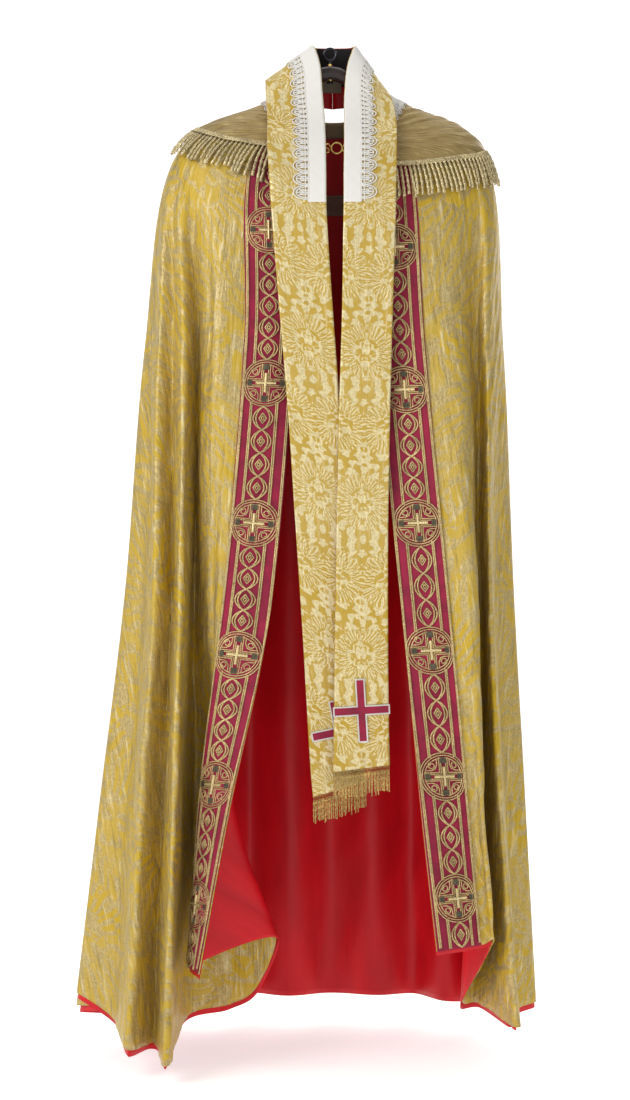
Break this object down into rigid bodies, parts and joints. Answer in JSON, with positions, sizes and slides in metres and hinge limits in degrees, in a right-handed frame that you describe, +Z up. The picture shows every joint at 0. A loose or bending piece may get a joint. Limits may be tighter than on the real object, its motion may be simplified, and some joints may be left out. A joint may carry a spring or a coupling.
{
  "type": "cope with stole on a hanger",
  "caption": "Lined brocade cope with orphreys, fringed hood, lace collar and clasp, hung on a wooden hanger with a matching stole laid over it.",
  "frame": {"origin": "the seat inside the top of the hanging eye, where a hook or pin carries the whole set", "axes": "+X to the viewer's right facing the open front, +Y from the front to the back, +Z up"},
  "size_m": [0.6916, 0.466, 1.4891],
  "materials": {
    "brocade": "gold damask brocade on metallic lame, crinkled",
    "hood_cloth": "plain dull gold lame, crinkled",
    "satin_lining": "glossy red satin",
    "velvet": "crimson velvet",
    "gold_thread": "couched metallic thread",
    "bullion": "twisted metallic bullion strands",
    "linen_lace": "openwork lace with a plain heading",
    "tape": "woven cotton tape",
    "hanger_wood": "dark stained, satin",
    "brass": "polished",
    "eye_steel": "blackened",
    "khaki_thread": "matt loose thread fringe"
  },
  "bodies": {
    "cope": {"shell_left_front": "brocade", "shell_left_shoulder": "brocade", "shell_left_back": "brocade", "shell_centre_back": "brocade", "shell_right_back": "brocade", "shell_right_shoulder": "brocade", "shell_right_front": "brocade", "lining_left_front": "satin_lining", "lining_back": "satin_lining", "lining_right_front": "satin_lining", "orphrey_left_upper": "velvet", "orphrey_right_upper": "velvet", "roundel_left_1": "gold_thread", "roundel_left_2": "gold_thread", "roundel_left_3": "gold_thread", "roundel_right_1": "gold_thread", "roundel_right_2": "gold_thread", "roundel_right_3": "gold_thread", "hood_left_front": "hood_cloth", "hood_right_front": "hood_cloth", "hood_back_yoke": "hood_cloth", "hood_fringe_left": "bullion", "hood_fringe_right": "bullion", "collar_lace": "linen_lace", "neck_tape": "tape", "stay_tape": "tape", "hanger_body": "hanger_wood", "hanger_bush": "brass", "clasp_plate_left": "brass", "clasp_plate_right": "brass"},
    "hanging_eye": {"hanging_eye": "eye_steel"},
    "left_front": {"shell_left_front_skirt": "brocade", "shell_left_side_skirt": "brocade", "lining_left_skirt": "satin_lining", "orphrey_left_lower": "velvet", "roundel_left_4": "gold_thread", "roundel_left_5": "gold_thread", "roundel_left_6": "gold_thread"},
    "right_front": {"shell_right_front_skirt": "brocade", "shell_right_side_skirt": "brocade", "lining_right_skirt": "satin_lining", "orphrey_right_lower": "velvet", "roundel_right_4": "gold_thread", "roundel_right_5": "gold_thread", "roundel_right_6": "gold_thread"},
    "hood_flap": {"hood_flap": "hood_cloth", "hood_fringe_flap": "bullion"},
    "clasp": {"clasp_bar": "brass", "clasp_hook": "brass"},
    "stole_neck": {"stole_neck": "brocade", "stole_lace_neck": "linen_lace", "stole_label": "tape"},
    "stole_left": {"stole_band_left": "brocade", "stole_lace_left": "linen_lace", "stole_fringe_left": "khaki_thread", "stole_cross_left": "velvet"},
    "stole_right": {"stole_band_right": "brocade", "stole_lace_right": "linen_lace", "stole_fringe_right": "khaki_thread", "stole_cross_right": "velvet"}
  },
  "joints": [
    {"name": "eye_swivel", "type": "hinge", "parent": "cope", "child": "hanging_eye", "pos_m": [0, 0, -0.03], "axis": [0, 0, 1], "continuous": true},
    {"name": "left_front_swing", "type": "hinge", "parent": "cope", "child": "left_front", "pos_m": [-0.307, -0.004, -0.808], "axis": [-0.1171, -0.0264, -0.9928], "range_deg": [0, 60]},
    {"name": "right_front_swing", "type": "hinge", "parent": "cope", "child": "right_front", "pos_m": [0.275, -0.009, -0.808], "axis": [-0.0535, 0.0049, 0.9986], "range_deg": [0, 60]},
    {"name": "hood_flap_lift", "type": "hinge", "parent": "cope", "child": "hood_flap", "pos_m": [0, 0.086, -0.214], "axis": [1, 0, 0], "range_deg": [0, 110]},
    {"name": "clasp_drop", "type": "hinge", "parent": "cope", "child": "clasp", "pos_m": [0.0438, -0.076, -0.16], "axis": [0, -0.9291, 0.3697], "range_deg": [0, 60]},
    {"name": "stole_lift", "type": "slide", "parent": "cope", "child": "stole_neck", "axis": [0, 0, 1], "range_m": [0, 1.25]},
    {"name": "stole_left_swing", "type": "hinge", "parent": "stole_neck", "child": "stole_left", "pos_m": [-0.0505, -0.0556, -0.1135], "axis": [-1, 0, 0], "range_deg": [0, 35]},
    {"name": "stole_right_swing", "type": "hinge", "parent": "stole_neck", "child": "stole_right", "pos_m": [0.059, -0.0556, -0.1155], "axis": [-1, 0, 0], "range_deg": [0, 35]}
  ]
}
